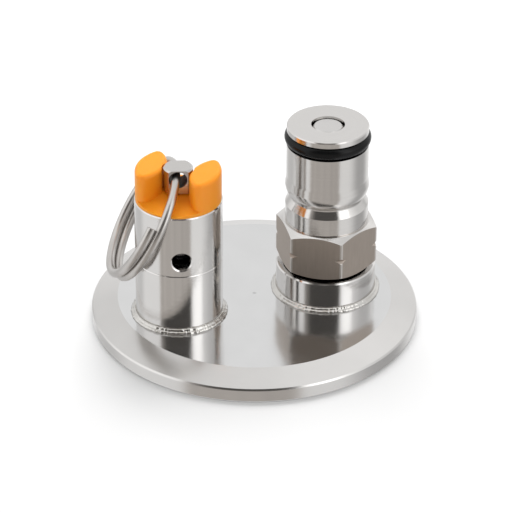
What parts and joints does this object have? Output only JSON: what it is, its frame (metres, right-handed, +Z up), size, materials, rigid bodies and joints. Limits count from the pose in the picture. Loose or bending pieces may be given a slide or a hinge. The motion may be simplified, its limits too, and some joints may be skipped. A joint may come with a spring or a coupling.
{
  "type": "sanitary clamp end cap",
  "caption": "Blank clamp end cap for sanitary tube, with a welded ball-lock gas post and a welded pull-ring pressure relief valve on its top.",
  "frame": {"origin": "centre of the disc's clamp face, which the part rests on", "axes": "+Z up out of the disc, towards the fittings; +X to the gas post's side, as in the picture"},
  "size_m": [0.064, 0.064, 0.0408],
  "materials": {
    "disc_steel": "polished flat top, satin taper and rim",
    "boss_steel": "turned and polished",
    "weld_steel": "bright rippled weld bead",
    "post_steel": "turned barrel, satin hex",
    "tube_steel": "polished",
    "stem_steel": "turned",
    "spring_steel": "drawn wire",
    "ring_wire": "drawn and polished wire",
    "orange_plastic": "moulded, slightly satin",
    "black_rubber": "smooth rubber",
    "white_seal": "smooth sealing plastic"
  },
  "bodies": {
    "cap_assembly": {"end_cap_disc": "disc_steel", "post_boss": "boss_steel", "post_boss_weld": "weld_steel", "gas_post_body": "post_steel", "gas_post_o_ring": "black_rubber", "post_thread_gasket": "white_seal", "poppet_spring": "spring_steel", "valve_socket": "tube_steel", "valve_socket_weld": "weld_steel", "valve_bonnet": "tube_steel", "bonnet_o_ring": "black_rubber", "lock_cap": "orange_plastic", "valve_spring": "spring_steel"},
    "poppet": {"poppet_pin": "post_steel", "poppet_seal": "black_rubber"},
    "seal_carrier": {"seal_holder": "stem_steel", "valve_seal": "black_rubber"},
    "stem": {"valve_stem": "stem_steel", "seal_screw": "stem_steel"},
    "ring": {"pull_ring": "ring_wire"}
  },
  "joints": [
    {"name": "poppet_press", "type": "slide", "parent": "cap_assembly", "child": "poppet", "axis": [0, 0, -1], "range_m": [0, 0.003], "stiffness_N_per_m": 1000, "springref_m": -0.004, "deforming": ["poppet_spring"]},
    {"name": "valve_lift", "type": "slide", "parent": "cap_assembly", "child": "seal_carrier", "axis": [0, 0, 1], "range_m": [0, 0.0032], "stiffness_N_per_m": 1500, "springref_m": -0.0045, "deforming": ["valve_spring"]},
    {"name": "valve_twist", "type": "hinge", "parent": "seal_carrier", "child": "stem", "pos_m": [-0.0146, -0.0063, 0.03], "axis": [0, 0, 1], "range_deg": [-20, 0]},
    {"name": "ring_swing", "type": "hinge", "parent": "stem", "child": "ring", "pos_m": [-0.01478, -0.0063, 0.03494], "axis": [0, 1, 0], "range_deg": [0, 210]}
  ]
}
